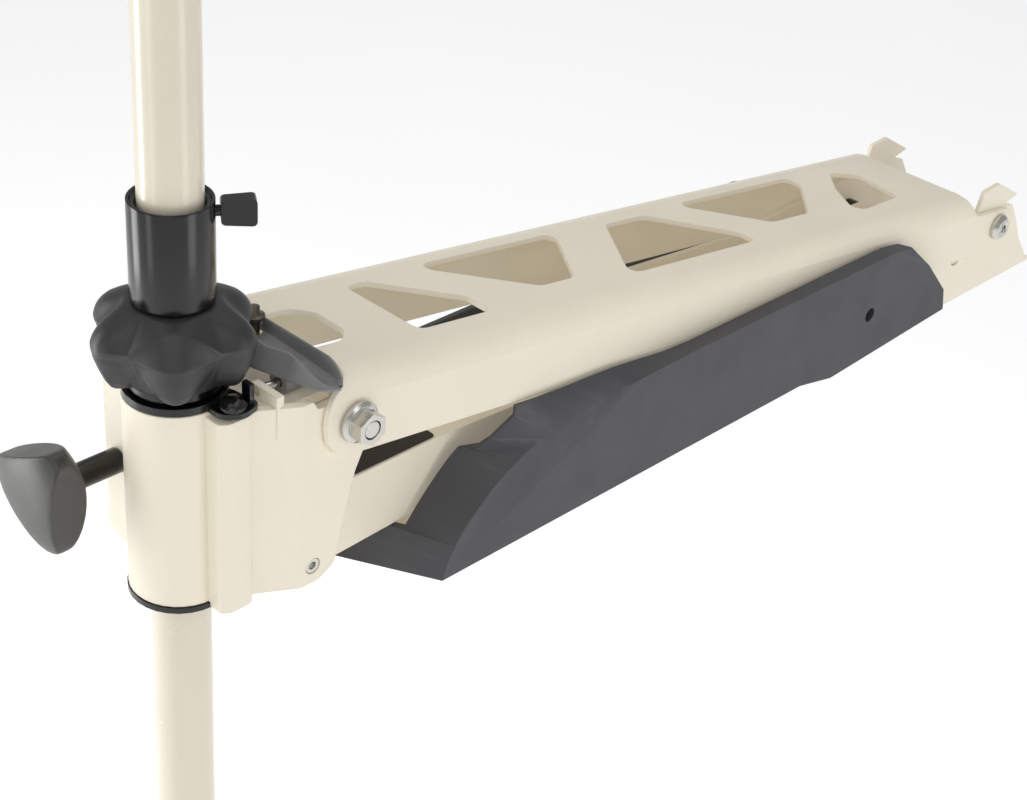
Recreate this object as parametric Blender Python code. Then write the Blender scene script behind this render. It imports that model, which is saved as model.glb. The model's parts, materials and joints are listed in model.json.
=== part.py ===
"""Bow-mount trolling motor on a swing-arm deck mount.

Frame: metres, +Z up, +Y back over the boat's deck, -Y out over the water, +X to starboard.
The origin is the middle of the deck face under the mount's base.
Dimensions are written in millimetres; MM turns them into metres when a mesh is made.
"""

from math import acos, atan2, cos, pi, radians, sin, tan

import bmesh
import bpy
from mathutils import Matrix, Vector

MM = 0.001
GAP = 0.35          # running and resting clearance between neighbours

# Column and what slides on it
COLUMN_Y = -400.0   # the column's axis, in front of the origin
COLUMN_R = 14.3     # 1 1/8 inch tube
COLUMN_WALL = 2.0
COLUMN_LENGTH = 914.0
HEAD_BOTTOM = 395.0
TUBE_TOP = HEAD_BOTTOM - COLUMN_LENGTH

# Barrel of the tilt bracket and the clamp parts above it
BARREL_BOTTOM = 37.5
BARREL_TOP = 140.5
BARREL_R = 24.0
BARREL_BORE = 19.0
SLEEVE_R = 18.6
KNOB_BOTTOM = 150.0
COLLAR_BOTTOM = 187.2
COLLAR_TOP = 235.0
COLLAR_R = 18.7
STAR_R = 38.3
STAR_PHASE = -36.4  # degrees, where the first lobe points
STAR_LOBES = (0, 63, 121, 180, 239, 297)      # degrees on from the first lobe
STAR_VALLEYS = (38, 92, 151, 209, 268, 322)
SCREW_ANGLE = 56.0  # degrees, where the collar's thumb screw points
SCREW_Z = 228.0
TENSION_X = -37.0
TENSION_Z = 87.0

# Release lever's pin and the latch pin that it lifts
LEVER_X = 26.0
LEVER_Z = 142.4
LATCH_X = -7.0
LATCH_Y = COLUMN_Y + 50.0

# Swing arms: pivots as (y, z)
UPPER_FRONT = Vector((-336.1, 122.7))
UPPER_REAR = Vector((223.9, 45.7))
LOWER_FRONT = Vector((-357.8, 48.9))
LOWER_REAR_Z = 33.0
ARM_STOW = radians(-155)     # the upper arm's swing from deployed to stowed
COLUMN_STOW = radians(-90)   # the column's turn over the same swing
ARM_HALF = 49.2
ARM_WALL = 3.0
ARM_TOP = 24.0               # top plate above the pivot line
ARM_BOTTOM = -17.5
SHOULDER_R = 12.0
LOWER_HALF = 29.5
LOWER_WALL = 2.5
PIVOT_R = 4.8

# Base channel and covers
BASE_HALF = 45.7
BASE_WALL = 3.0
BASE_FRONT = -272.0
BASE_REAR = 283.0
COVER_X = 62.0
COVER_WALL = 2.6
COVER_LIP_X = 52.0
DECK_BOLT_Y = (-190.0, 190.0)
DECK_BOLT_X = 26.0
COVER_SCREW = (66.0, 40.6)   # (y, z)

# Lower unit and head
MOTOR_Z = TUBE_TOP - 45.0
MOTOR_R = 43.0
MOTOR_HALF = 82.0
PROP_X = -152.0
PROP_R = 127.0
HEAD_HEIGHT = 62.0
TILLER_X = -106.0
TILLER_Z = HEAD_BOTTOM + 14.0

MATERIALS = {
    "cream_paint": ((0.78, 0.74, 0.66, 1), 0.38, 0.0),
    "dark_plastic": ((0.085, 0.085, 0.09, 1), 0.45, 0.0),
    "black_plastic": ((0.02, 0.02, 0.02, 1), 0.35, 0.0),
    "knob_rubber": ((0.10, 0.10, 0.105, 1), 0.55, 0.0),
    "lever_plastic": ((0.20, 0.20, 0.205, 1), 0.4, 0.0),
    "steel": ((0.62, 0.61, 0.59, 1), 0.25, 1.0),
    "label_film": ((0.03, 0.03, 0.03, 1), 0.3, 0.0),
    "motor_paint": ((0.05, 0.05, 0.055, 1), 0.4, 0.0),
    "copper_winding": ((0.55, 0.25, 0.12, 1), 0.4, 1.0),
    "magnet": ((0.09, 0.09, 0.09, 1), 0.6, 0.0),
    "board": ((0.02, 0.16, 0.07, 1), 0.5, 0.0),
}


# ---------------------------------------------------------------- helpers

def turned(vector, angle):
    """A (y, z) vector turned about +X."""
    return Vector((vector[0] * cos(angle) - vector[1] * sin(angle),
                   vector[0] * sin(angle) + vector[1] * cos(angle)))


def material(slot):
    found = bpy.data.materials.get(slot)
    if found:
        return found
    colour, roughness, metallic = MATERIALS[slot]
    made = bpy.data.materials.new(slot)
    made.use_nodes = True
    shader = made.node_tree.nodes["Principled BSDF"]
    shader.inputs["Base Color"].default_value = colour
    shader.inputs["Roughness"].default_value = roughness
    shader.inputs["Metallic"].default_value = metallic
    made.diffuse_color = colour
    return made


def keep(name, mesh, slot=None):
    """An object of this mesh; without a slot it is a cutter or a joined-in shape."""
    piece = bpy.data.objects.new(name, mesh)
    bpy.context.scene.collection.objects.link(piece)
    if slot:
        mesh.materials.append(material(slot))
        mesh.shade_smooth()
        mesh.set_sharp_from_angle(angle=radians(35))
    else:
        piece.hide_render = True
        piece.display_type = "WIRE"
    return piece


def from_bmesh(name, shape, slot=None):
    bmesh.ops.recalc_face_normals(shape, faces=shape.faces)
    mesh = bpy.data.meshes.new(name)
    shape.to_mesh(mesh)
    shape.free()
    mesh.transform(Matrix.Scale(MM, 4))
    return keep(name, mesh, slot)


def prism(name, outline, low, high, axis="X", slot=None, taper=None):
    """An outline pushed along an axis: X takes (y, z), Y takes (x, z), Z takes (x, y)."""
    place = {
        "X": lambda u, v, w: (w, u, v),
        "Y": lambda u, v, w: (u, w, v),
        "Z": lambda u, v, w: (u, v, w),
    }[axis]
    shape = bmesh.new()
    far_outline = taper or outline
    near = [shape.verts.new(place(u, v, low)) for u, v in outline]
    far = [shape.verts.new(place(u, v, high)) for u, v in far_outline]
    shape.faces.new(near)
    shape.faces.new(far)
    for i in range(len(near)):
        j = (i + 1) % len(near)
        shape.faces.new((near[i], near[j], far[j], far[i]))
    return from_bmesh(name, shape, slot)


def loft(name, sections, axis="Z", slot=None):
    """Outlines of equal length, each at its own height along the axis, skinned into one body."""
    place = {"Y": lambda u, v, w: (u, w, v), "Z": lambda u, v, w: (u, v, w)}[axis]
    shape = bmesh.new()
    rings = [[shape.verts.new(place(u, v, height)) for u, v in outline]
             for outline, height in sections]
    shape.faces.new(rings[0])
    shape.faces.new(rings[-1])
    for one, two in zip(rings, rings[1:]):
        for i in range(len(one)):
            j = (i + 1) % len(one)
            shape.faces.new((one[i], one[j], two[j], two[i]))
    return from_bmesh(name, shape, slot)


def box(name, low, high, slot=None):
    outline = [(low[0], low[1]), (high[0], low[1]), (high[0], high[1]), (low[0], high[1])]
    return prism(name, outline, low[2], high[2], "Z", slot)


def turned_solid(name, profile, centre, axis="Z", steps=32, slot=None):
    """A profile of (radius, height) turned round an axis; closed, so it may be a ring."""
    spin = {"Z": Matrix.Identity(4),
            "X": Matrix.Rotation(pi / 2, 4, "Y"),
            "Y": Matrix.Rotation(-pi / 2, 4, "X")}[axis]
    place = Matrix.Translation(centre) @ spin
    shape = bmesh.new()
    rings = []
    solid_ends = profile[0][0] < 1e-6 and profile[-1][0] < 1e-6
    flat = [solid_ends and profile[0][1] == profile[1][1],
            solid_ends and profile[-1][1] == profile[-2][1]]
    profile = profile[int(flat[0]):len(profile) - int(flat[1])]
    for radius, height in profile:
        if radius < 1e-6:
            rings.append([shape.verts.new(place @ Vector((0, 0, height)))])
            continue
        rings.append([
            shape.verts.new(place @ Vector((radius * cos(2 * pi * k / steps),
                                            radius * sin(2 * pi * k / steps), height)))
            for k in range(steps)])
    pairs = list(zip(rings, rings[1:]))
    if not solid_ends:
        pairs.append((rings[-1], rings[0]))
    for is_flat, ring in zip(flat, (rings[0], rings[-1])):
        if is_flat:
            shape.faces.new(ring)
    for one, two in pairs:
        for k in range(steps):
            n = (k + 1) % steps
            corners = [one[k % len(one)], one[n % len(one)], two[n % len(two)], two[k % len(two)]]
            corners = list(dict.fromkeys(corners))
            if len(corners) > 2:
                shape.faces.new(corners)
    return from_bmesh(name, shape, slot)


def rod(name, radius, low, high, centre, axis="Z", steps=16, slot=None, chamfer=0.0):
    """A plain round bar; centre is any point on its axis, low and high run along the axis."""
    profile = [(0, low), (radius - chamfer, low)]
    if chamfer:
        profile += [(radius, low + chamfer), (radius, high - chamfer)]
    profile += [(radius - chamfer, high), (0, high)]
    return turned_solid(name, profile, centre, axis, steps, slot)


def tube(name, outer, inner, low, high, centre, axis="Z", steps=20, slot=None):
    return turned_solid(name, [(outer, low), (outer, high), (inner, high), (inner, low)],
                        centre, axis, steps, slot)


def combine(piece, other, operation):
    step = piece.modifiers.new(operation.title(), "BOOLEAN")
    step.operation = operation
    step.object = other
    return piece


def cut(piece, *cutters):
    for cutter in cutters:
        combine(piece, cutter, "DIFFERENCE")
    return piece


def join(piece, *others):
    for other in others:
        combine(piece, other, "UNION")
    return piece


def rounded(corners, steps=3):
    """A polygon of (u, v, radius) corners with each corner rounded by an arc."""
    points = []
    count = len(corners)
    for i, (u, v, radius) in enumerate(corners):
        here = Vector((u, v))
        before = (Vector(corners[i - 1][:2]) - here).normalized()
        after = (Vector(corners[(i + 1) % count][:2]) - here).normalized()
        half = acos(max(-1.0, min(1.0, before.dot(after)))) / 2
        if radius <= 0 or half > radians(89):
            points.append((u, v))
            continue
        middle = here + (before + after).normalized() * (radius / sin(half))
        start = here + before * (radius / tan(half)) - middle
        end = here + after * (radius / tan(half)) - middle
        first = atan2(start.y, start.x)
        sweep = (atan2(end.y, end.x) - first + pi) % (2 * pi) - pi
        for k in range(steps + 1):
            angle = first + sweep * k / steps
            points.append((middle.x + radius * cos(angle), middle.y + radius * sin(angle)))
    return points


def flip(*pieces):
    """Move pieces to the port side, as their own mirror image."""
    for piece in pieces:
        piece.data.transform(Matrix.Scale(-1, 4, (1, 0, 0)))
        piece.data.flip_normals()


def hexagon(name, across, low, high, centre, axis, slot=None):
    return rod(name, across / 2 / cos(radians(30)), low, high, centre, axis, 6, slot)


# ---------------------------------------------------------------- linkage

def lower_rear_pivot():
    """Where the lower arm must pivot for the column to lie level when the arms are stowed."""
    upper_stowed = UPPER_REAR + turned(UPPER_FRONT - UPPER_REAR, ARM_STOW)
    lower_stowed = upper_stowed + turned(LOWER_FRONT - UPPER_FRONT, COLUMN_STOW)
    middle = (LOWER_FRONT + lower_stowed) / 2
    across = lower_stowed - LOWER_FRONT
    y = middle[0] - (LOWER_REAR_Z - middle[1]) * across[1] / across[0]
    return Vector((y, LOWER_REAR_Z))


LOWER_REAR = lower_rear_pivot()


# ---------------------------------------------------------------- base

def hook_ear_outline():
    """Side wall of the base: low along the arms, rising to a hooked ear at the stern end."""
    return [
        (BASE_FRONT, 0), (BASE_REAR, 0), (265, 22), (253, 43), (246, 53), (235, 57),
        (249, 60), (223, 75), (206, 74), (201, 58), (60, 52), (-60, 64), (-130, 64), (-200, 46), (-235, 30),
        (BASE_FRONT, 8),
    ]


def base_channel():
    base = box("base_channel", (-BASE_HALF, BASE_FRONT, 0), (BASE_HALF, BASE_REAR, BASE_WALL),
               "cream_paint")
    outline = hook_ear_outline()
    for side, low in (("right", BASE_HALF - BASE_WALL), ("left", -BASE_HALF)):
        join(base, prism("base_wall_" + side, outline, low, low + BASE_WALL, "X"))
    for name, (y, z), radius in (("upper", UPPER_REAR, PIVOT_R + GAP),
                                 ("lower", LOWER_REAR, PIVOT_R + GAP)):
        cut(base, rod("base_bore_" + name, radius, -60, 60, (0, y, z), "X"))
    cut(base, rod("base_screw_bore", 3.0, -60, 60, (0, *COVER_SCREW), "X", 16))
    for y in DECK_BOLT_Y:
        for x in (-DECK_BOLT_X, DECK_BOLT_X):
            cut(base, rod("deck_bore", 4.3, -5, 12, (x, y, 0), steps=16))
    return base


def deck_bolts():
    number = 0
    for y in DECK_BOLT_Y:
        for x in (-DECK_BOLT_X, DECK_BOLT_X):
            number += 1
            name = f"deck_bolt_{number}"
            bolt = rod(name, 4.0, 0.4, 6, (x, y, 0), steps=16, slot="steel")
            join(bolt, hexagon("deck_bolt_head", 13, BASE_WALL + GAP, 9, (x, y, 0), "Z"))


def cover_front_y(x, z):
    """The nose of a cover slopes back as it rises and as it runs outboard."""
    return -287.6 + (0.375 * (x - COVER_X) + 0.599 * (z - 15)) / 0.707


def side_cover(name, side):
    """One moulded cover: outer face, sloped top band, and half of the swept nose."""
    def at(x, y, z):
        return (side * x, y, z)

    def on_nose(x, z):
        return at(x, cover_front_y(x, z), z)

    lip = COVER_LIP_X
    face = [
        on_nose(COVER_X, 15), at(COVER_X, 3, 15), at(COVER_X, 34, 8.5), at(COVER_X, 152, 14.5),
        at(COVER_X, 148, 30), at(COVER_X - 1, 126, 54), at(COVER_X - 3, 104, 73),
        at(COVER_X, 80, 77.5), at(COVER_X, -98, 79), at(COVER_X, -112, 79),
        on_nose(COVER_X, 74.5),
    ]
    band_front = [at(COVER_X, -112, 79), at(lip, -112, 90.5), at(lip, -231, 90.5),
                  on_nose(COVER_X, 74.5)]
    band_rear = [at(COVER_X - 3, 104, 73), at(lip, 99, 74), at(lip, 80, 77.2), at(lip, -98, 78.5),
                 at(COVER_X, -98, 79), at(COVER_X, 80, 77.5)]
    nose = [on_nose(COVER_X, 15), on_nose(COVER_X, 74.5), at(lip, -231, 90.5), on_nose(45, 69),
            on_nose(36.5, 68.5), on_nose(33.5, 40), on_nose(33.5, 33.5), on_nose(0.4, 33.5),
            on_nose(0.4, 15)]
    shape = bmesh.new()
    verts = {}

    def corner(point):
        key = tuple(round(value, 3) for value in point)
        if key not in verts:
            verts[key] = shape.verts.new(point)
        return verts[key]

    for polygon in (face, band_front, band_rear, nose):
        shape.faces.new([corner(point) for point in polygon])
    bmesh.ops.triangulate(shape, faces=shape.faces)
    bmesh.ops.recalc_face_normals(shape, faces=shape.faces)
    outward = max(shape.faces, key=lambda f: f.calc_area())
    if outward.normal.x * side < 0:
        bmesh.ops.reverse_faces(shape, faces=shape.faces)
    mesh = bpy.data.meshes.new(name)
    shape.to_mesh(mesh)
    shape.free()
    mesh.transform(Matrix.Scale(MM, 4))
    cover = keep(name, mesh, "dark_plastic")
    wall = cover.modifiers.new("Wall", "SOLIDIFY")
    wall.thickness = COVER_WALL * MM
    wall.offset = -1
    wall.use_even_offset = True
    y, z = COVER_SCREW
    hole = rod(name + "_hole", 4.6, 40, 70, (0, y, z), "X", 16)
    post = tube(name + "_post", 7.5, 4.6, BASE_HALF + GAP, COVER_X - 1.2, (0, y, z), "X", 16)
    if side < 0:
        flip(hole, post)
    split = box(name + "_split", (-8, -400, 0), (0.3, 300, 120))
    if side < 0:
        flip(split)
        cut(cover, box(name + "_low_front", (-80, -340, 69), (-30, -98, 110)))
    join(cut(cover, hole, split), post)
    return cover


def cover_screws():
    """Each cover is held by one long screw whose head sits deep in the cover's post."""
    y, z = COVER_SCREW
    for name, side in (("cover_screw_right", 1), ("cover_screw_left", -1)):
        screw = rod(name, 2.6, 40, 50, (0, y, z), "X", 12, "steel")
        head = rod(name + "_head", 4.2, BASE_HALF + GAP, 50.5, (0, y, z), "X", 16)
        if side < 0:
            flip(screw, head)
        join(screw, head)


def pivots_on_base():
    y, z = UPPER_REAR
    for name, side in (("right", 1), ("left", -1)):
        bolt = rod("rear_pivot_bolt_" + name, PIVOT_R, 35.5, 51.0, (0, y, z), "X", 16, "steel")
        head = turned_solid("rear_bolt_head_" + name,
                            [(0, 49.6), (8.6, 49.6), (8.6, 51.6), (6.4, 54.2), (0, 54.6)],
                            (0, y, z), "X", 16)
        socket = hexagon("rear_bolt_socket_" + name, 5, 52.4, 58, (0, y, z), "X")
        nut = hexagon("rear_pivot_nut_" + name, 13, 36, BASE_HALF - BASE_WALL - GAP, (0, y, z), "X",
                      "steel")
        nut_bore = rod("rear_nut_bore_" + name, PIVOT_R + 0.2, 30, 50, (0, y, z), "X")
        if side < 0:
            flip(bolt, head, socket, nut, nut_bore)
        cut(join(bolt, head), socket)
        cut(nut, nut_bore)
    y, z = LOWER_REAR
    rod("lower_pivot_rod", PIVOT_R, -BASE_HALF + 0.3, BASE_HALF - 0.3, (0, y, z), "X", 16, "steel",
        chamfer=0.6)


# ---------------------------------------------------------------- upper arm

def arm_section(half, top, bottom, wall, shoulder):
    """An upturned channel section (x, z) with rounded shoulders."""
    outer = rounded([(-half, bottom, 0), (-half, top, shoulder), (half, top, shoulder),
                     (half, bottom, 0)])
    inner = rounded([(half - wall, bottom, 0), (half - wall, top - wall, shoulder - wall),
                     (-half + wall, top - wall, shoulder - wall), (-half + wall, bottom, 0)])
    return outer + inner


def truss_windows():
    """Windows in the top plate, between zigzag ties, as (x, s) with s along the arm."""
    return [
        [(-27, 56, 5), (27, 56, 5), (27, 106, 5), (9, 106, 5), (-27, 70, 6)],
        [(-31, 104, 5), (17, 152, 8), (17, 178, 8), (-31, 214, 5)],
        [(28, 210, 5), (28, 322, 5), (16, 322, 6), (-27, 286, 9), (-27, 252, 9)],
        [(-31, 316, 5), (14, 356, 8), (14, 392, 8), (-20, 430, 7), (-31, 430, 5)],
        [(27, 424, 6), (22, 478, 7), (-14, 486, 7), (-25, 468, 7), (-4, 446, 9)],
    ]


def upper_arm():
    length = (UPPER_REAR - UPPER_FRONT).length
    pitch = atan2(UPPER_FRONT[1] - UPPER_REAR[1], UPPER_REAR[0] - UPPER_FRONT[0])
    side = rounded([
        (-18, ARM_BOTTOM, 17), (length + 17.5, ARM_BOTTOM, 16), (length + 17.5, 11.4, 12),
        (535, 11.4, 6), (524, ARM_TOP + 1, 3), (-3, ARM_TOP + 1, 5), (-18, 12, 10)])
    section = arm_section(ARM_HALF, ARM_TOP, ARM_BOTTOM - 2, ARM_WALL, SHOULDER_R)
    arm = prism("upper_arm", section, -25, length + 25, "Y", "cream_paint")
    combine(arm, prism("upper_arm_side", side, -60, 60, "X"), "INTERSECT")
    notch = rounded([(-19, -30, 0), (19, -30, 0), (19, 14, 10), (10, 23, 5), (-10, 23, 5),
                     (-19, 14, 10)])
    cutters = [prism("upper_arm_notch", notch, 5, 40, "Z")]
    for number, window in enumerate(truss_windows()):
        cutters.append(prism(f"upper_arm_window_{number}", rounded(window, 3), 5, 40, "Z"))
    cutters.append(rod("upper_arm_front_bore", PIVOT_R + GAP, -60, 60, (0, 0, 0), "X"))
    cutters.append(rod("upper_arm_rear_bore", PIVOT_R + GAP, -60, 60, (0, length, 0), "X"))
    cut(arm, *cutters)
    place = (Matrix.Translation((0, UPPER_FRONT[0] * MM, UPPER_FRONT[1] * MM))
             @ Matrix.Rotation(-pitch, 4, "X"))
    arm.matrix_world = place
    for name in ["upper_arm_side"] + [c.name for c in cutters]:
        bpy.data.objects[name].matrix_world = place
    return arm


# ---------------------------------------------------------------- lower arm

def lower_arm():
    """An upturned channel inside the base, deep at the bow end and slim at its rear pivot."""
    front, rear = LOWER_FRONT, LOWER_REAR
    side = rounded([
        (front[0] - 12, front[1] - 12, 11), (front[0] + 6, front[1] - 12, 8),
        (front[0] + 26, 32.5, 6), (-285, 34.5, 4), (rear[0] - 10, rear[1] - 12, 8),
        (rear[0] + 12, rear[1] - 12, 11), (rear[0] + 12, rear[1] + 12, 11),
        (rear[0] - 30, rear[1] + 14, 10), (-40, 60, 20), (-262, 73.5, 10),
        (front[0] + 26, 73.5, 8), (front[0] - 12, front[1] + 12, 11)])
    arm = prism("lower_arm", side, -LOWER_HALF, LOWER_HALF, "X", "cream_paint")
    inner = LOWER_HALF - LOWER_WALL
    for name, drop in (("hollow", LOWER_WALL), ("open", 24.0)):
        lowered = [(y, z - drop) for y, z in side]
        cut(arm, prism("lower_arm_" + name, lowered, -inner, inner, "X"))
    cut(arm, box("barrel_room", (-17, front[0] - 20, 25), (17, front[0] - 5, 64)))
    for name, (y, z) in (("front", front), ("rear", rear)):
        cut(arm, rod(f"lower_arm_{name}_bore", PIVOT_R + GAP, -60, 60, (0, y, z), "X"))
    return arm


def lower_arm_fittings():
    """The safety label on top of the arm, and the spacers that centre it on its rear rod."""
    prism("arm_label", rounded([(-24, -318, 2), (24, -318, 2), (24, -264, 2), (-24, -264, 2)], 2),
          73.5 + GAP, 74.2, "Z", "label_film")
    y, z = LOWER_REAR
    for name, side in (("lower_arm_spacer_right", 1), ("lower_arm_spacer_left", -1)):
        spacer = tube(name, 8.5, PIVOT_R + 0.2, LOWER_HALF + GAP, BASE_HALF - BASE_WALL - GAP,
                      (0, y, z), "X", 14, "black_plastic")
        if side < 0:
            flip(spacer)


# ---------------------------------------------------------------- tilt bracket

def wing_outline():
    """Side plate of the bracket with its two pivot bosses, as (y, z)."""
    upper, lower = UPPER_FRONT, LOWER_FRONT
    return rounded([
        (COLUMN_Y - 10, 39.5, 0), (lower[0] + 4, 39.5, 8), (lower[0] + 13, lower[1] - 4, 5),
        (upper[0] + 3, 92, 14), (upper[0] + 12, upper[1] - 12, 11),
        (upper[0] + 12, upper[1] + 12, 11.5), (upper[0] - 20, upper[1] + 12, 2),
        (upper[0] - 23, 139.7, 2), (COLUMN_Y - 10, 139.7, 0)])


def tilt_bracket():
    """A casting: split barrel, hinge-like post, pinch ears, wings to the pivots, lever ears."""
    centre = (0, COLUMN_Y, 0)
    y0 = COLUMN_Y
    bracket = rod("tilt_bracket", BARREL_R, BARREL_BOTTOM, BARREL_TOP, centre, steps=32,
                  slot="cream_paint")
    plan = [(14, y0 + 10), (33.5, y0 + 13), (BASE_HALF, y0 + 35), (BASE_HALF, y0 + 92),
            (BASE_HALF - 4, y0 + 92), (BASE_HALF - 4, y0 + 36.5), (31, y0 + 17.5), (14, y0 + 18)]
    for name, side in (("right", 1), ("left", -1)):
        wing = prism("bracket_wing_" + name, plan, 30, 150, "Z")
        shape = prism("bracket_wing_shape_" + name, wing_outline(), 5, 60, "X")
        if side < 0:
            flip(wing, shape)
        join(bracket, combine(wing, shape, "INTERSECT"))
    post = rounded([(20, y0 - 2, 2), (33, y0 - 2, 3), (35.5, y0 + 2, 4), (35.5, y0 + 14, 4),
                    (30, y0 + 19, 4), (20, y0 + 17, 2)], 3)
    join(bracket, prism("bracket_post", post, 35.5, 138.5, "Z"))
    ear = rounded([(-47, 42, 6), (-15, 38.6, 0), (-15, 134, 0), (-47, 134, 6)], 3)
    join(bracket, prism("bracket_pinch_ears", ear, y0 - 6, y0 + 7, "Y"))
    join(bracket,
         box("bracket_web", (-36, y0 + 21.5, 122), (36, y0 + 27, 138.9)),
         box("bracket_lever_wall", (22.5, y0 + 24.4, 124), (40.5, y0 + 28.4, 145.6)),
         box("bracket_shelf", (-15, y0 + 25, 131), (36, y0 + 58.4, 136)),
         box("bracket_lever_ear_rear", (18, y0 + 56.4, 132), (33, y0 + 58.7, 147)))
    cut(bracket,
        rod("flange_room", BARREL_R + 1.2, 20, BARREL_BOTTOM + 0.1, centre, steps=32),
        rod("barrel_bore", BARREL_BORE, 20, 160, centre, steps=32),
        box("barrel_slit", (-60, y0 - 1.2, 20), (-10, y0 + 1.2, 160)),
        rod("bracket_upper_bore", PIVOT_R + GAP, -60, 60, (0, *UPPER_FRONT), "X", 20),
        rod("bracket_lower_bore", 4.0 + GAP, -60, 60, (0, *LOWER_FRONT), "X", 20),
        rod("tension_bore", 3.4, y0 - 30, y0 + 30, (TENSION_X, 0, TENSION_Z), "Y", 16),
        rod("latch_bore", 3.4, 120, 145, (LATCH_X, LATCH_Y, 0), steps=16),
        rod("lever_bore", 2.4, y0 + 10, y0 + 65, (LEVER_X, 0, LEVER_Z), "Y", 12))
    return bracket


def bracket_fittings():
    y, z = UPPER_FRONT
    rod("front_pivot_bolt", PIVOT_R, -56, 60, (0, y, z), "X", 20, "steel", chamfer=0.8)
    bolt = bpy.data.objects["front_pivot_bolt"]
    join(bolt, turned_solid("front_bolt_head", [(0, -56.5), (6.5, -56), (8.8, -52), (8.8, -50.2),
                                                (0, -50.2)], (0, y, z), "X", 16))
    nut = turned_solid("front_flange_nut", [(0, 50.4), (10.5, 50.4), (10.5, 51.8), (8.6, 53),
                                            (0, 53)], (0, y, z), "X", 24, "steel")
    join(nut, hexagon("front_nut_hex", 14.5, 51.2, 60.2, (0, y, z), "X"))
    cut(nut, rod("front_nut_bore", PIVOT_R + 0.1, 40, 70, (0, y, z), "X", 20))
    y, z = LOWER_FRONT
    for name, side in (("right", 1), ("left", -1)):
        screw = rod("lower_pivot_screw_" + name, 4.0, LOWER_HALF + 1.5, BASE_HALF - 0.4, (0, y, z),
                    "X", 12, "steel")
        slot = hexagon("lower_screw_socket_" + name, 4, BASE_HALF - 2.6, 60, (0, y, z), "X")
        boss = tube("lower_pivot_bush_" + name, 5.6, 4.0 + GAP, LOWER_HALF + 1.5,
                    BASE_HALF - 4 - GAP, (0, y, z), "X", 12, "black_plastic")
        if side < 0:
            flip(screw, slot, boss)
        cut(screw, slot)
    centre = (0, COLUMN_Y, 0)
    bearing = tube("top_bearing", 23.8, BARREL_BORE, BARREL_TOP + GAP, 144.6, centre, steps=36,
                   slot="black_plastic")
    y0 = COLUMN_Y
    ear = rounded([(18, y0 - 1, 2), (34, y0 - 1, 7), (39, y0 + 8, 7), (36, y0 + 19, 4),
                   (18, y0 + 16, 2)], 3)
    join(bearing, prism("top_bearing_ear", ear, BARREL_TOP + GAP, 143.6, "Z"),
         prism("top_bearing_tab", rounded([(-40, y0 - 5, 5), (-18, y0 - 8, 0), (-18, y0 + 6, 0),
                                           (-40, y0 + 4, 5)], 3), BARREL_TOP + GAP, 143.6, "Z"),
         box("top_bearing_rib", (28, y0 + 14.8, 142), (33.5, y0 + 17.4, 152.5)))
    cut(bearing, rod("top_bearing_bore", BARREL_BORE, 130, 160, centre, steps=36),
        rod("top_screw_hole", 2.9, 130, 160, (31.5, y0 + 7, 0), steps=12))
    screw = turned_solid("bearing_screw", [(0, 139), (2.6, 139), (2.6, 144), (6.4, 144),
                                           (6.4, 145.6), (4.5, 148), (0, 148.8)],
                         (31.5, y0 + 7, 0), steps=16, slot="black_plastic")
    cut(bpy.data.objects["tilt_bracket"],
        rod("bearing_screw_hole", 2.9, 130, 150, (31.5, y0 + 7, 0), steps=12))
    return screw


def release_lever():
    """A thumb scoop under the star knob, on a pin, that lifts the latch pin."""
    y0 = COLUMN_Y
    outline = rounded([(-18, y0 + 39, 4), (12, y0 + 33, 8), (42, y0 + 36, 10), (54, y0 + 41, 7),
                       (54, y0 + 52, 7), (42, y0 + 56, 8), (-18, y0 + 56, 4)], 4)
    lever = prism("release_lever", outline, 144, 155, "Z", "lever_plastic")
    scoop = prism("lever_scoop", rounded([(y0 + 38.5, 170, 0), (y0 + 39.5, 146.5, 5),
                                          (y0 + 53.5, 146.5, 5), (y0 + 54.2, 170, 0)]), -1, 51, "X")
    boss = box("lever_boss", (19.5, y0 + 29, 139), (32.5, y0 + 55.5, 145.5))
    cut(join(lever, boss), scoop,
        rod("lever_pin_hole", 2.5, y0 + 10, y0 + 65, (LEVER_X, 0, LEVER_Z), "Y", 12),
        rod("lever_latch_hole", 4.4, 130, 160, (LATCH_X, LATCH_Y, 0), steps=16))
    rod("lever_pin", 2.1, y0 + 24.6, y0 + 58.5, (LEVER_X, 0, LEVER_Z), "Y", 12, "steel")
    pin = turned_solid("latch_pin", [(0, 118), (2.2, 119), (2.7, 121), (2.7, 156.3), (5.2, 156.3),
                                     (5.2, 157.8), (2.7, 158.6), (2.7, 162), (0, 162.5)],
                       (LATCH_X, LATCH_Y, 0), steps=16, slot="steel")
    return lever, pin


# ---------------------------------------------------------------- knobs

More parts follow.
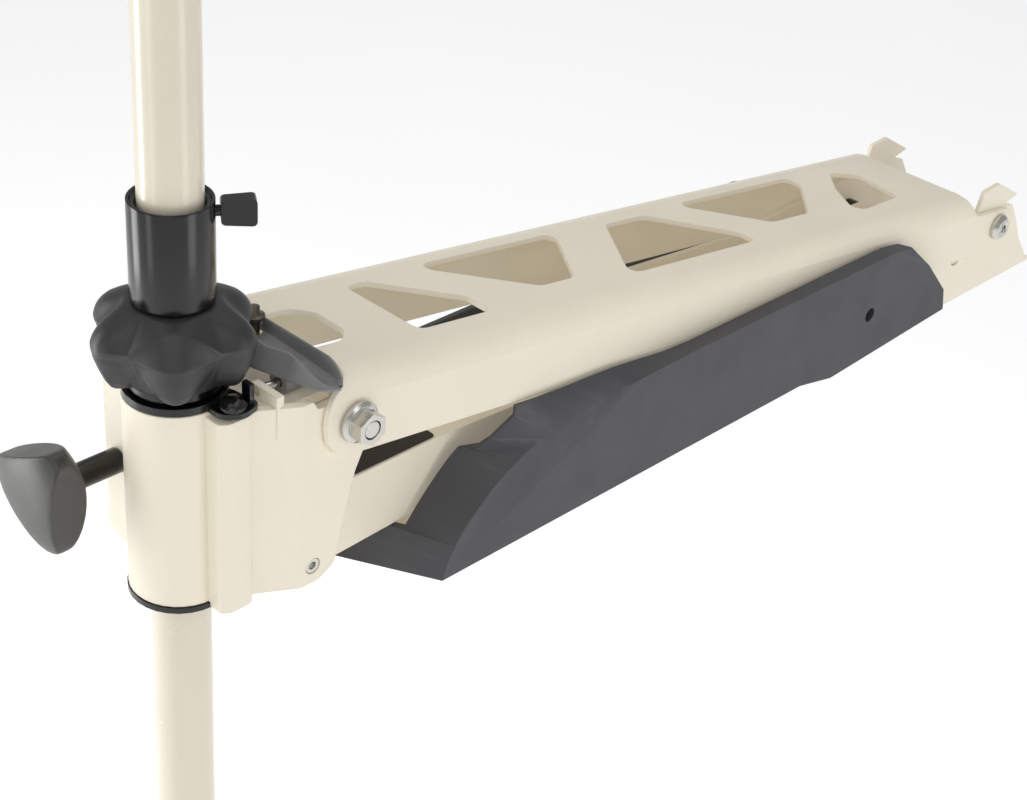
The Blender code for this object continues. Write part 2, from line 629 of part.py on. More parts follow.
def tension_knob():
    """Three-lobed hand knob on a stud through the pinch ears."""
    y0 = COLUMN_Y
    count = 36
    lobes = []
    for k in range(count):
        angle = 2 * pi * k / count
        radius = 23.5 + 6.5 * cos(3 * (angle - radians(55)))
        lobes.append((TENSION_X + radius * cos(angle), TENSION_Z + radius * sin(angle)))
    middle = Vector((TENSION_X, TENSION_Z))

    def section(size):
        return [tuple(middle + (Vector(p) - middle) * size) for p in lobes]

    def ring(radius):
        return [tuple(middle + (Vector(p) - middle).normalized() * radius) for p in lobes]

    knob = loft("tension_knob", [
        (ring(6.0), y0 - 6 - GAP), (ring(6.0), y0 - 30), (ring(9.0), y0 - 36), (section(0.74), y0 - 37.5),
        (section(0.97), y0 - 43), (section(1.0), y0 - 46), (section(1.0), y0 - 52),
        (section(0.93), y0 - 55), (section(0.8), y0 - 56)], "Y", "knob_rubber")
    cut(knob, rod("tension_knob_bore", 3.2, y0 - 30, y0 + 5, (TENSION_X, 0, TENSION_Z), "Y", 12))
    rod("tension_stud", 3.0, y0 - 28, y0 + 13, (TENSION_X, 0, TENSION_Z), "Y", 12, "steel")
    nut = hexagon("tension_nut", 10, y0 + 7 + GAP, y0 + 12.5, (TENSION_X, 0, TENSION_Z), "Y", "steel")
    cut(nut, rod("tension_nut_bore", 3.1, y0, y0 + 20, (TENSION_X, 0, TENSION_Z), "Y", 12))


def star_outline(tip, valley, width):
    """Six lobes; width is the share of a half lobe over which it falls from tip to valley."""
    points = []
    for number, lobe in enumerate(STAR_LOBES):
        before = STAR_VALLEYS[number - 1] - (360 if number == 0 else 0)
        after = STAR_VALLEYS[number]
        for end, steps in ((before, (1.0, 0.8, 0.6, 0.4, 0.2)), (after, (0.0, 0.2, 0.4, 0.6, 0.8))):
            for share in steps:
                radius = tip - (tip - valley) * min(1.0, share / width) ** 1.6
                angle = radians(STAR_PHASE + lobe + (end - lobe) * share)
                points.append((radius * cos(angle), COLUMN_Y + radius * sin(angle)))
    return points


def star_knob():
    centre = (0, COLUMN_Y, 0)

    def ring(radius):
        return star_outline(radius, radius, 1)

    knob = loft("star_knob", [
        (ring(22.5), KNOB_BOTTOM), (star_outline(29.0, 23.5, 0.45), KNOB_BOTTOM + 0.6),
        (star_outline(32.5, 24.5, 0.7), 155), (star_outline(35.5, 27.0, 0.9), 161),
        (star_outline(37.8, 30.0, 1.0), 167), (star_outline(STAR_R, 31.2, 1.0), 172),
        (star_outline(37.0, 30.5, 0.95), 176), (star_outline(32.0, 28.5, 0.75), 180),
        (ring(25.5), 183.4), (ring(21.0), COLLAR_BOTTOM - GAP)], "Z", "knob_rubber")
    cut(knob, rod("star_knob_bore", SLEEVE_R + 0.3, 140, 183, centre, steps=32),
        rod("star_knob_throat", COLUMN_R + 0.3, 140, 200, centre, steps=32))


def steering_sleeve():
    """The tube that turns in the barrel and grips the column, with its thrust flange below."""
    turned_solid("steering_sleeve", [
        (COLUMN_R + 0.3, BARREL_BOTTOM - 3.4), (24.6, BARREL_BOTTOM - 3.4),
        (24.6, BARREL_BOTTOM - GAP), (SLEEVE_R, BARREL_BOTTOM - GAP), (SLEEVE_R, 146),
        (21.5, 146), (21.5, KNOB_BOTTOM - GAP), (SLEEVE_R, KNOB_BOTTOM - GAP), (SLEEVE_R, 182),
        (COLUMN_R + 0.3, 182)], (0, COLUMN_Y, 0), steps=28, slot="black_plastic")


def depth_collar():
    centre = (0, COLUMN_Y, 0)
    collar = turned_solid("depth_collar", [
        (COLLAR_R - 1.2, COLLAR_BOTTOM), (COLLAR_R, COLLAR_BOTTOM + 1.2),
        (COLLAR_R, COLLAR_TOP - 1.2), (COLLAR_R - 1.2, COLLAR_TOP), (COLUMN_R + 0.3, COLLAR_TOP),
        (COLUMN_R + 0.3, COLLAR_BOTTOM)], centre, steps=28, slot="black_plastic")
    aim = Matrix.Translation(Vector((0, COLUMN_Y, SCREW_Z)) * MM) @ Matrix.Rotation(
        radians(SCREW_ANGLE), 4, "Z")
    hole = rod("collar_screw_hole", 2.9, 10, 30, (0, 0, 0), "X", 12)
    screw = rod("collar_screw", 2.5, COLUMN_R + 0.7, 24, (0, 0, 0), "X", 12, "black_plastic")
    paddle = prism("collar_screw_paddle", rounded([(20.6, -5.4, 2), (36, -6.4, 2), (36, 6.4, 2),
                                                   (20.6, 5.4, 2)], 3), -3.8, 3.8, "Y")
    for piece in (hole, screw, paddle):
        piece.data.transform(aim)
    cut(collar, hole)
    join(screw, paddle)


# ---------------------------------------------------------------- column, head, lower unit

def column():
    centre = (0, COLUMN_Y, 0)
    tube("column_tube", COLUMN_R, COLUMN_R - COLUMN_WALL, TUBE_TOP - 12, HEAD_BOTTOM + 22, centre,
         steps=28, slot="cream_paint")
    rod("column_wiring", 6.0, TUBE_TOP - 8, HEAD_BOTTOM + 20, centre, steps=12, slot="black_plastic")


def lower_unit():
    place = (0, COLUMN_Y, MOTOR_Z)
    housing = rod("motor_housing", MOTOR_R, -MOTOR_HALF, MOTOR_HALF, place, "X", 24, "motor_paint")
    neck = turned_solid("motor_neck", [(0, MOTOR_Z + 20), (26, MOTOR_Z + 32), (20, TUBE_TOP - 2),
                                       (17.6, TUBE_TOP + 16), (0, TUBE_TOP + 16)],
                        (0, COLUMN_Y, 0), steps=24)
    bore = rod("motor_bore", MOTOR_R - 3, -MOTOR_HALF - 9, MOTOR_HALF + 9, place, "X", 24)
    cut(join(housing, neck), bore)
    cut(housing, rod("neck_bore", COLUMN_R + GAP, MOTOR_Z, TUBE_TOP + 40, (0, COLUMN_Y, 0)))
    nose = [(0, 60.0)]
    for k in range(1, 6):
        angle = pi / 2 * k / 5
        nose.append((MOTOR_R * sin(angle), 60.0 * cos(angle)))
    nose += [(MOTOR_R - 3.4, 0), (MOTOR_R - 3.4, -8), (MOTOR_R - 7, -8), (MOTOR_R - 7, 4)]
    nose += [(20, 34), (0, 34)]
    turned_solid("nose_cone", nose, (MOTOR_HALF + GAP, COLUMN_Y, MOTOR_Z), "X", 24, "motor_paint")
    bell = [(MOTOR_R, 0), (MOTOR_R - 3, 16), (32, 32), (20, 42), (13, 44), (13, 30), (18, 28),
            (32, 12), (MOTOR_R - 7, 0), (MOTOR_R - 7, -8), (MOTOR_R - 3.4, -8), (MOTOR_R - 3.4, 0)]
    piece = turned_solid("rear_end_bell", bell, (0, 0, 0), "X", 24, "motor_paint")
    piece.data.transform(Matrix.Translation(Vector((-MOTOR_HALF - GAP, COLUMN_Y, MOTOR_Z)) * MM)
                         @ Matrix.Rotation(pi, 4, "Z"))
    skeg = rounded([(62, MOTOR_Z - MOTOR_R - 1, 0), (-40, MOTOR_Z - MOTOR_R - 1, 0),
                    (-58, MOTOR_Z - 118, 8), (-30, MOTOR_Z - 140, 14), (6, MOTOR_Z - 118, 30)])
    prism("skeg", skeg, COLUMN_Y - 2.5, COLUMN_Y + 2.5, "Y", "motor_paint")
    for name, side in (("front", 1), ("rear", -1)):
        outline = []
        for k in range(13):
            angle = radians(-60 + 10 * k)
            outline.append((COLUMN_Y + side * 39.2 * cos(angle), MOTOR_Z + 39.2 * sin(angle)))
        for k in range(12, -1, -1):
            angle = radians(-60 + 10 * k)
            outline.append((COLUMN_Y + side * 33.5 * cos(angle), MOTOR_Z + 33.5 * sin(angle)))
        prism(f"magnet_{name}", outline, -45, 45, "X", "magnet")
    rod("armature", 31.5, -38, 38, place, "X", 24, "copper_winding")
    cut(bpy.data.objects["armature"], rod("armature_bore", 4.2, -60, 60, place, "X", 16))
    rod("motor_shaft", 4.0, PROP_X - 16, 70, place, "X", 16, "steel", chamfer=0.5)
    tube("rear_bearing", 12.7, 4.3, -124.5, -115, place, "X", 20, "steel")


def propeller():
    """Two broad swept blades on a hub that slides over the motor shaft."""
    place = (PROP_X, COLUMN_Y, MOTOR_Z)
    hub = turned_solid("propeller", [(0, -16), (15, -16), (20, -10), (22, 0), (22, 18), (19, 22),
                                     (0, 22)], place, "X", 20, "black_plastic")
    for number in range(2):
        shape = bmesh.new()
        rows = []
        spans = 7
        for k in range(spans):
            t = k / (spans - 1)
            radius = 16 + (PROP_R - 16) * t
            chord = 30 + 34 * sin(pi * min(1.0, 0.15 + 0.75 * t)) - 34 * max(0.0, t - 0.86) / 0.14
            pitch = radians(62 - 42 * t)
            sweep = 16 * t * t
            thick = 3.2 - 1.8 * t
            row = []
            for across, skin in ((-1, 0), (-0.4, 1), (0.3, 1), (1, 0), (0.3, -1), (-0.4, -1)):
                u = across * chord / 2 + sweep
                row.append(shape.verts.new((
                    u * sin(pitch) + skin * thick / 2 * cos(pitch),
                    u * cos(pitch) - skin * thick / 2 * sin(pitch),
                    radius)))
            rows.append(row)
        for one, two in zip(rows, rows[1:]):
            for k in range(6):
                n = (k + 1) % 6
                shape.faces.new((one[k], one[n], two[n], two[k]))
        shape.faces.new(rows[0])
        shape.faces.new(rows[-1])
        bmesh.ops.triangulate(shape, faces=shape.faces)
        blade = from_bmesh(f"propeller_blade_{number}", shape)
        turn = Matrix.Rotation(pi * number + radians(55), 4, "X")
        blade.data.transform(Matrix.Translation(Vector(place) * MM) @ turn)
        join(hub, blade)
    cut(hub, rod("propeller_bore", 4.3, -30, 40, place, "X", 16))
    nut = turned_solid("propeller_nut", [(4.2, -8), (9.5, -8), (8.8, -1), (4.2, -1)],
                       (0, 0, 0), "X", 20, "steel")
    nut.data.transform(Matrix.Translation(Vector((PROP_X - 16.4, COLUMN_Y, MOTOR_Z)) * MM))


def head():
    y0 = COLUMN_Y
    low, high = HEAD_BOTTOM, HEAD_BOTTOM + HEAD_HEIGHT
    outline = rounded([(-92, y0 - 38, 24), (78, y0 - 46, 30), (78, y0 + 46, 30), (-92, y0 + 38, 24)],
                      4)
    inner = rounded([(-89, y0 - 35, 21), (75, y0 - 43, 27), (75, y0 + 43, 27), (-89, y0 + 35, 21)],
                    4)
    base = prism("head_base", outline, low, low + 24, "Z", "motor_paint")
    x, z = TILLER_X, TILLER_Z
    for name, side in (("a", 1), ("b", -1)):
        lug = rounded([(-80, z - 10, 0), (x - 10, z - 9, 8), (x - 10, z + 9, 8), (-80, z + 9, 0)], 4)
        middle = y0 + side * 12.5
        join(base, prism("tiller_lug_" + name, lug, middle - 3, middle + 3, "Y"))
    cut(base, prism("head_base_hollow", inner, low + 3, low + 40, "Z"),
        rod("head_column_hole", 16.5, low - 20, low + 60, (0, y0, 0)),
        rod("tiller_lug_bore", 3.0 + GAP, y0 - 30, y0 + 30, (x, 0, z), "Y", 16))
    join(base, tube("head_socket", 19, COLUMN_R + GAP, low - 8, low + 20, (0, y0, 0), steps=24))
    crown = [(x * 0.86 - 1, y0 + (y - y0) * 0.80) for x, y in outline]
    crown_inner = [(x * 0.86 - 1, y0 + (y - y0) * 0.80) for x, y in inner]
    cover = prism("head_cover", outline, low + 24 + GAP, high, "Z", "motor_paint", taper=crown)
    cut(cover, prism("head_cover_hollow", inner, low + 20, high - 3, "Z", taper=crown_inner))
    board = box("control_board", (20, y0 - 30, low + 10), (66, y0 + 30, low + 12), "board")
    gland = rod("cable_gland", 8, 74.0, 94, (0, y0 + 14, low + 13), "X", 14, "black_plastic")
    join(gland, hexagon("cable_gland_nut", 20, 78 + GAP, 85, (0, y0 + 14, low + 13), "X"))
    cut(gland, rod("cable_gland_bore", 3.6, 60, 100, (0, y0 + 14, low + 13), "X", 16))
    cut(base, rod("head_gland_hole", 8 + GAP, 60, 100, (0, y0 + 14, low + 13), "X", 20))
    return board


def tiller():
    """Steering handle on a cross pin at the head, with its twist grip."""
    y0 = COLUMN_Y
    x, z = TILLER_X, TILLER_Z
    rod("tiller_pin", 3.0, y0 - 16.5, y0 + 16.5, (x, 0, z), "Y", 16, "steel")
    arm = prism("tiller_arm", rounded([(x + 8.5, z - 8, 7), (x + 8.5, z + 8, 7), (x - 60, z + 9, 4),
                                       (x - 60, z - 9, 4)], 4), y0 - 9, y0 + 9, "Y", "motor_paint")
    join(arm, rod("tiller_tube", 8.0, x - 165, x - 50, (0, y0, z), "X", 18))
    cut(arm, rod("tiller_arm_bore", 3.0 + GAP, y0 - 30, y0 + 30, (x, 0, z), "Y", 16))
    grip = turned_solid("twist_grip", [
        (8.0 + GAP, x - 60 - GAP), (15, x - 60 - GAP), (16.5, x - 66), (14, x - 80), (14.5, x - 120),
        (15.5, x - 160), (14, x - 176), (8.5, x - 180), (0, x - 180), (0, x - 166),
        (8.0 + GAP, x - 166)], (0, y0, z), "X", 18, "knob_rubber")
    return grip


# ---------------------------------------------------------------- main

def build():
    for old in list(bpy.data.objects):
        bpy.data.objects.remove(old)
    base_channel()
    deck_bolts()
    side_cover("side_cover_right", 1)
    side_cover("side_cover_left", -1)
    cover_screws()
    pivots_on_base()
    upper_arm()
    lower_arm()
    lower_arm_fittings()
    tilt_bracket()
    bracket_fittings()
    release_lever()
    tension_knob()
    star_knob()
    steering_sleeve()
    depth_collar()
    column()
    lower_unit()
    propeller()
    head()
    tiller()


build()
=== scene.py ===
"""Looks of the bow-mount trolling motor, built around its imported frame.

Lengths are written in millimetres and scaled by MM; +Z is up, the deck face is z = 0,
and the column stands at y = -400.
"""

import json
from math import cos, exp, log, pi, radians, sin

import bmesh
import bpy
from mathutils import Matrix, Vector


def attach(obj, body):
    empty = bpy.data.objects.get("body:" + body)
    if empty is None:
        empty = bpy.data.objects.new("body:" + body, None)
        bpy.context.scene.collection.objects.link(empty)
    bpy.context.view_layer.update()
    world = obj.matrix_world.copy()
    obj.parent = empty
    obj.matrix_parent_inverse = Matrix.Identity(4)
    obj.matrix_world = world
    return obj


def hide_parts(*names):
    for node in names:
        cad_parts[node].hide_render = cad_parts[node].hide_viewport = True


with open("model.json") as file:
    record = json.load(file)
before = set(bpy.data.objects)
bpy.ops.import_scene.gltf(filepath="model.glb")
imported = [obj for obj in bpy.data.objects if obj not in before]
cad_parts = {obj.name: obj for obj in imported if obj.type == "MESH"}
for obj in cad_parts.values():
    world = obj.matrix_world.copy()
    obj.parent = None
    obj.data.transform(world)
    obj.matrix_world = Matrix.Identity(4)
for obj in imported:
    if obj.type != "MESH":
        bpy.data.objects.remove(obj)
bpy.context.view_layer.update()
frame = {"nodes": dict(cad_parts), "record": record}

MM = 0.001
COLUMN_Y = -400.0
STAR_PHASE = radians(-36.4)                    # where the star knob's first lobe points
STAR_LOBES = (0, 63, 121, 180, 239, 297)       # degrees on from the first lobe
STAR_VALLEYS = (38, 92, 151, 209, 268, 322)
TENSION = (-37.0, 87.0)                        # the clamp knob's axis, as (x, z)
LEVER_PIVOT = (26.0, 142.4)                    # the release lever's axis, as (x, z)
LATCH_PIN = (-7.0, -350.0)                     # the latch pin's axis, as (x, y)
PROPELLER_X = -152.0
MOTOR_Z = -564.0
TILLER_Z = 409.0
GRIP_X = -166.0
COVER_WALL = 2.6
COVER_SCREW = (0.0, 66.0, 40.6)
FLOOR_Z = -0.72                                # metres, like the rest of the stage
FLOOR_HALF = 30.0
BODY_OF = {node: body for body, members in frame["record"]["behaviour"]["bodies"].items()
           for node in members}


# ---------------------------------------------------------------- materials

class Nodes:
    """A material under construction: short names for the few node types used here."""

    def __init__(self, name):
        self.material = bpy.data.materials.new(name)
        self.material.use_nodes = True
        self.tree = self.material.node_tree
        self.shader = self.tree.nodes["Principled BSDF"]
        self.place = self.add("ShaderNodeTexCoord").outputs["Object"]

    def add(self, kind, **values):
        node = self.tree.nodes.new(kind)
        for key, value in values.items():
            setattr(node, key, value)
        return node

    def link(self, source, target):
        self.tree.links.new(source, target)

    def noise(self, scale, detail=3.0, rough=0.55, stretch=None):
        node = self.add("ShaderNodeTexNoise")
        node.inputs["Scale"].default_value = scale
        node.inputs["Detail"].default_value = detail
        node.inputs["Roughness"].default_value = rough
        source = self.place
        if stretch:
            mapping = self.add("ShaderNodeMapping")
            mapping.inputs["Scale"].default_value = stretch
            self.link(source, mapping.inputs["Vector"])
            source = mapping.outputs["Vector"]
        self.link(source, node.inputs["Vector"])
        return node.outputs["Fac"]

    def ramp(self, source, stops):
        node = self.add("ShaderNodeValToRGB")
        while len(node.color_ramp.elements) < len(stops):
            node.color_ramp.elements.new(0.5)
        for element, (position, colour) in zip(node.color_ramp.elements, stops):
            element.position = position
            element.color = (*colour, 1.0)
        self.link(source, node.inputs["Fac"])
        return node.outputs["Color"]

    def spread(self, source, low, high):
        node = self.add("ShaderNodeMapRange")
        node.inputs["From Min"].default_value = 0.3
        node.inputs["From Max"].default_value = 0.7
        node.inputs["To Min"].default_value = low
        node.inputs["To Max"].default_value = high
        self.link(source, node.inputs["Value"])
        return node.outputs["Result"]

    def mix(self, factor, first, colour):
        node = self.add("ShaderNodeMix", data_type="RGBA")
        self.link(factor, node.inputs["Factor"])
        self.link(first, node.inputs["A"])
        node.inputs["B"].default_value = (*colour, 1.0)
        return node.outputs["Result"]

    def edge_normal(self, radius):
        node = self.add("ShaderNodeBevel", samples=6)
        node.inputs["Radius"].default_value = radius * MM
        return node.outputs["Normal"]

    def edges(self, rounded_normal):
        """1 along sharp edges, 0 on flats: where the rounded normal leaves the true one."""
        geometry = self.add("ShaderNodeNewGeometry")
        dot = self.add("ShaderNodeVectorMath", operation="DOT_PRODUCT")
        self.link(rounded_normal, dot.inputs[0])
        self.link(geometry.outputs["True Normal"], dot.inputs[1])
        node = self.add("ShaderNodeMapRange")
        node.inputs["From Min"].default_value = 0.995
        node.inputs["From Max"].default_value = 0.86
        self.link(dot.outputs["Value"], node.inputs["Value"])
        return node.outputs["Result"]

    def bump(self, height, distance, strength, normal):
        node = self.add("ShaderNodeBump")
        node.inputs["Distance"].default_value = distance * MM
        node.inputs["Strength"].default_value = strength
        self.link(height, node.inputs["Height"])
        self.link(normal, node.inputs["Normal"])
        return node.outputs["Normal"]


def srgb(red, green, blue):
    """A colour given as 0 to 255 display values, in the linear values that shaders use."""
    def linear(value):
        value /= 255.0
        return value / 12.92 if value <= 0.04045 else ((value + 0.055) / 1.055) ** 2.4
    return (linear(red), linear(green), linear(blue))


def finish(name, base, variation, rough, grain, grain_depth, metallic=0.0, coat=0.0,
           radius=0.9, wear=None, wear_amount=0.3, stretch=None, painted_glow=0.0):
    """Cloudy base colour, uneven roughness, a fine surface grain and softened edges.

    Edges are rubbed towards the wear colour, and a faint glow in the base colour is painted
    light that brightens shaded insides.
    """
    m = Nodes(name)
    # Painted light: the surface glows faintly in its own base colour to brighten its shaded
    # insides.
    m.shader.inputs["Emission Color"].default_value = (*base, 1.0)
    m.shader.inputs["Emission Strength"].default_value = painted_glow
    cloud = m.noise(14.0, 5.0)
    darker = tuple(c * (1 - variation) for c in base)
    lighter = tuple(min(1.0, c * (1 + variation)) for c in base)
    colour = m.ramp(cloud, [(0.32, darker), (0.68, lighter)])
    soft = m.edge_normal(radius)
    if wear:
        rub = m.add("ShaderNodeMath", operation="MULTIPLY")
        patch = m.spread(m.noise(60.0, 4.0), 0.0, wear_amount * 2)
        m.link(m.edges(soft), rub.inputs[0])
        m.link(patch, rub.inputs[1])
        colour = m.mix(rub.outputs["Value"], colour, wear)
    m.link(colour, m.shader.inputs["Base Color"])
    m.link(m.spread(m.noise(38.0, 4.0), rough[0], rough[1]), m.shader.inputs["Roughness"])
    m.shader.inputs["Metallic"].default_value = metallic
    m.shader.inputs["Coat Weight"].default_value = coat
    m.shader.inputs["Coat Roughness"].default_value = 0.12
    fine = m.noise(grain, 3.0, 0.6, stretch)
    m.link(m.bump(fine, grain_depth, 0.6, soft), m.shader.inputs["Normal"])
    return m.material


# The cream glows faintly: painted light that brightens the shaded insides seen through the
# windows.
CREAM = finish("cream_powder_coat", srgb(222, 214, 196), 0.025, (0.34, 0.46), 900.0, 0.035,
               radius=1.0, wear=srgb(240, 235, 222), wear_amount=0.25, painted_glow=0.14)
TUBE = finish("cream_column", srgb(221, 213, 194), 0.02, (0.2, 0.28), 500.0, 0.012,
              radius=0.6, coat=0.3)
COVER = finish("moulded_grey", srgb(66, 66, 70), 0.06, (0.5, 0.62), 1700.0, 0.06,
               radius=0.7, wear=srgb(112, 112, 116), wear_amount=0.35)
KNOB = finish("knob_satin", srgb(43, 43, 44), 0.07, (0.38, 0.48), 1500.0, 0.03,
              radius=0.8, wear=srgb(105, 105, 108), wear_amount=0.2)
GLOSS = finish("gloss_black", srgb(17, 16, 16), 0.12, (0.14, 0.24), 700.0, 0.012,
               radius=0.6, wear=srgb(60, 60, 62), wear_amount=0.25)
GRIP = finish("grip_grey", srgb(62, 61, 58), 0.07, (0.34, 0.42), 1500.0, 0.03,
              radius=0.8, wear=srgb(110, 110, 106), wear_amount=0.25)
LEVER = finish("lever_grey", srgb(124, 124, 124), 0.06, (0.42, 0.55), 1500.0, 0.04,
               radius=0.7, wear=srgb(165, 165, 162), wear_amount=0.4)
STEEL = finish("bright_zinc", srgb(200, 198, 192), 0.08, (0.14, 0.3), 1200.0, 0.02,
               metallic=1.0, radius=0.5, wear=srgb(235, 233, 228), wear_amount=0.3)
BRONZE = finish("dark_zinc", srgb(96, 88, 78), 0.2, (0.3, 0.45), 1200.0, 0.03,
                metallic=0.9, radius=0.4)
LABEL = finish("label_film", srgb(20, 20, 21), 0.1, (0.28, 0.4), 700.0, 0.008, radius=0.2)
MOTOR = finish("motor_paint", srgb(38, 38, 41), 0.08, (0.28, 0.4), 800.0, 0.03,
               radius=1.2, coat=0.25, wear=srgb(90, 90, 92), wear_amount=0.2)
COPPER = finish("copper_winding", srgb(176, 98, 58), 0.2, (0.25, 0.4), 500.0, 0.1,
                metallic=1.0, radius=0.3, stretch=(0.05, 1.0, 1.0))
MAGNET = finish("magnet", srgb(52, 52, 56), 0.1, (0.4, 0.5), 900.0, 0.03, radius=0.4)
BOARD = finish("board", srgb(26, 74, 44), 0.15, (0.3, 0.4), 600.0, 0.02, radius=0.2)
RUBBER = finish("grip_rubber", srgb(34, 34, 35), 0.1, (0.62, 0.75), 1300.0, 0.08, radius=0.8)

SLOT_LOOK = {"cream_paint": CREAM, "dark_plastic": COVER, "black_plastic": GLOSS,
             "knob_rubber": KNOB, "steel": STEEL, "lever_plastic": LEVER, "label_film": LABEL,
             "motor_paint": MOTOR, "copper_winding": COPPER, "magnet": MAGNET, "board": BOARD}
SPECIAL_LOOK = {"column_tube": TUBE, "twist_grip": RUBBER, "latch_pin": BRONZE}


def slot_of(node):
    """The record's material slot of a CAD node, which names its material there."""
    for material in frame["nodes"][node].data.materials:
        if material:
            for slot in SLOT_LOOK:
                if material.name.split(".")[0] == slot:
                    return slot
    return "black_plastic"


# ---------------------------------------------------------------- mesh helpers

def give(mesh, node, look=None, angle=32):
    """Shows a mesh in place of a CAD node: smooth below the angle, on the node's body."""
    piece = bpy.data.objects.new(node + "_fine", mesh)
    bpy.context.scene.collection.objects.link(piece)
    mesh.materials.clear()
    slot = slot_of(node)
    mesh.materials.append(look or SPECIAL_LOOK.get(node) or SLOT_LOOK[slot])
    for polygon in mesh.polygons:
        polygon.use_smooth = True
    mesh.set_sharp_from_angle(angle=radians(angle))
    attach(piece, BODY_OF[node])
    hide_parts(node)
    return piece


def refined(node, width, segments, angle=32):
    """A copy of a CAD node with merged faces, smooth round sides and rounded sharp edges."""
    shape = bmesh.new()
    shape.from_mesh(frame["nodes"][node].data)
    bmesh.ops.remove_doubles(shape, verts=shape.verts, dist=1e-6)
    bmesh.ops.dissolve_limit(shape, angle_limit=radians(0.6), verts=shape.verts,
                             edges=shape.edges)
    mesh = bpy.data.meshes.new(node + "_fine")
    shape.to_mesh(mesh)
    shape.free()
    piece = give(mesh, node, angle=angle)
    if width:
        bevel = piece.modifiers.new("Edges", "BEVEL")
        bevel.width = width * MM
        bevel.segments = segments
        bevel.limit_method = "ANGLE"
        bevel.angle_limit = radians(angle)
        bevel.use_clamp_overlap = True
        bevel.harden_normals = True
    return piece


def mesh_from(name, points, faces):
    """A mesh of points in millimetres, with shared points merged and faces turned outward."""
    mesh = bpy.data.meshes.new(name)
    mesh.from_pydata([tuple(c * MM for c in p) for p in points], [], faces)
    shape = bmesh.new()
    shape.from_mesh(mesh)
    bmesh.ops.remove_doubles(shape, verts=shape.verts, dist=1e-7)
    bmesh.ops.recalc_face_normals(shape, faces=shape.faces)
    shape.to_mesh(mesh)
    shape.free()
    return mesh


def rings(name, sections, closed=True):
    """Skins closed sections of equal point count; closed adds both end caps."""
    count = len(sections[0])
    points = [p for section in sections for p in section]
    faces = []
    for i in range(len(sections) - 1):
        for k in range(count):
            a, b = i * count + k, i * count + (k + 1) % count
            faces.append((a, b, b + count, a + count))
    if closed:
        faces.append(tuple(range(count))[::-1])
        faces.append(tuple(range(count * (len(sections) - 1), count * len(sections))))
    return mesh_from(name, points, faces)


def lathe(name, profile, centre, axis="Z", steps=96):
    """Turns a closed (radius, height) profile about an axis through centre."""
    sections = []
    for k in range(steps):
        c, s = cos(2 * pi * k / steps), sin(2 * pi * k / steps)
        ring = []
        for r, h in profile:
            if axis == "Z":
                ring.append((centre[0] + r * c, centre[1] + r * s, h))
            elif axis == "X":
                ring.append((h, centre[1] + r * c, centre[2] + r * s))
            else:
                ring.append((centre[0] + r * s, h, centre[2] + r * c))
        sections.append(ring)
    sections.append(sections[0])
    return rings(name, sections, closed=False)


def rounded(corners, steps=5):
    """A closed polygon of (u, v, radius) with each corner turned into an arc."""
    points = []
    count = len(corners)
    for i, (u, v, radius) in enumerate(corners):
        here = Vector((u, v))
        before = Vector(corners[i - 1][:2]) - here
        after = Vector(corners[(i + 1) % count][:2]) - here
        if radius <= 0:
            points.append((u, v))
            continue
        a, b = before.normalized(), after.normalized()
        half = a.angle(b) / 2
        if abs(half - pi / 2) < 1e-3:
            points.append((u, v))
            continue
        reach = min(radius / abs(sin(half) / cos(half)), before.length * 0.49,
                    after.length * 0.49)
        size = reach * abs(sin(half) / cos(half))
        middle = here + (a + b).normalized() * (size / sin(half))
        start, end = here + a * reach - middle, here + b * reach - middle
        turn = start.angle_signed(end)
        for k in range(steps + 1):
            p = start.copy()
            p.rotate(Matrix.Rotation(-turn * k / steps, 2))
            points.append(tuple(middle + p))
    return points


def carved(mesh, tools):
    """Unites or subtracts closed meshes and returns the finished mesh."""
    base = bpy.data.objects.new("carved", mesh)
    bpy.context.scene.collection.objects.link(base)
    helpers = []
    for tool, operation in tools:
        helper = bpy.data.objects.new("carving_tool", tool)
        bpy.context.scene.collection.objects.link(helper)
        modifier = base.modifiers.new("carve", "BOOLEAN")
        modifier.operation = operation
        modifier.solver = "EXACT"
        modifier.object = helper
        helpers.append(helper)
    graph = bpy.context.evaluated_depsgraph_get()
    result = bpy.data.meshes.new_from_object(base.evaluated_get(graph))
    for piece in [base] + helpers:
        bpy.data.objects.remove(piece)
    shape = bmesh.new()
    shape.from_mesh(result)
    bmesh.ops.remove_doubles(shape, verts=shape.verts, dist=1e-6)
    bmesh.ops.dissolve_degenerate(shape, dist=1e-6, edges=shape.edges)
    bmesh.ops.recalc_face_normals(shape, faces=shape.faces)
    shape.to_mesh(result)
    shape.free()
    return result


def walled(mesh, thickness):
    """Gives an open outer skin an inner wall."""
    base = bpy.data.objects.new("skin", mesh)
    bpy.context.scene.collection.objects.link(base)
    wall = base.modifiers.new("wall", "SOLIDIFY")
    wall.thickness = thickness * MM
    wall.offset = -1
    wall.use_even_offset = True
    graph = bpy.context.evaluated_depsgraph_get()
    result = bpy.data.meshes.new_from_object(base.evaluated_get(graph))
    bpy.data.objects.remove(base)
    return result


def block(low, high):
    """A closed box between two corners, used to cut with."""
    corners = [(x, y, z) for x in (low[0], high[0]) for y in (low[1], high[1])
               for z in (low[2], high[2])]
    return mesh_from("block", corners, [(0, 1, 3, 2), (4, 6, 7, 5), (0, 4, 5, 1), (2, 3, 7, 6),
                                        (0, 2, 6, 4), (1, 5, 7, 3)])


def steady(values, x):
    """Reads a broken line through sorted (x, value) pairs, level beyond its ends."""
    if x <= values[0][0]:
        return values[0][1]
    for (x0, v0), (x1, v1) in zip(values, values[1:]):
        if x <= x1:
            t = (x - x0) / (x1 - x0)
            return v0 + (v1 - v0) * t
    return values[-1][1]


# ---------------------------------------------------------------- knobs and collar

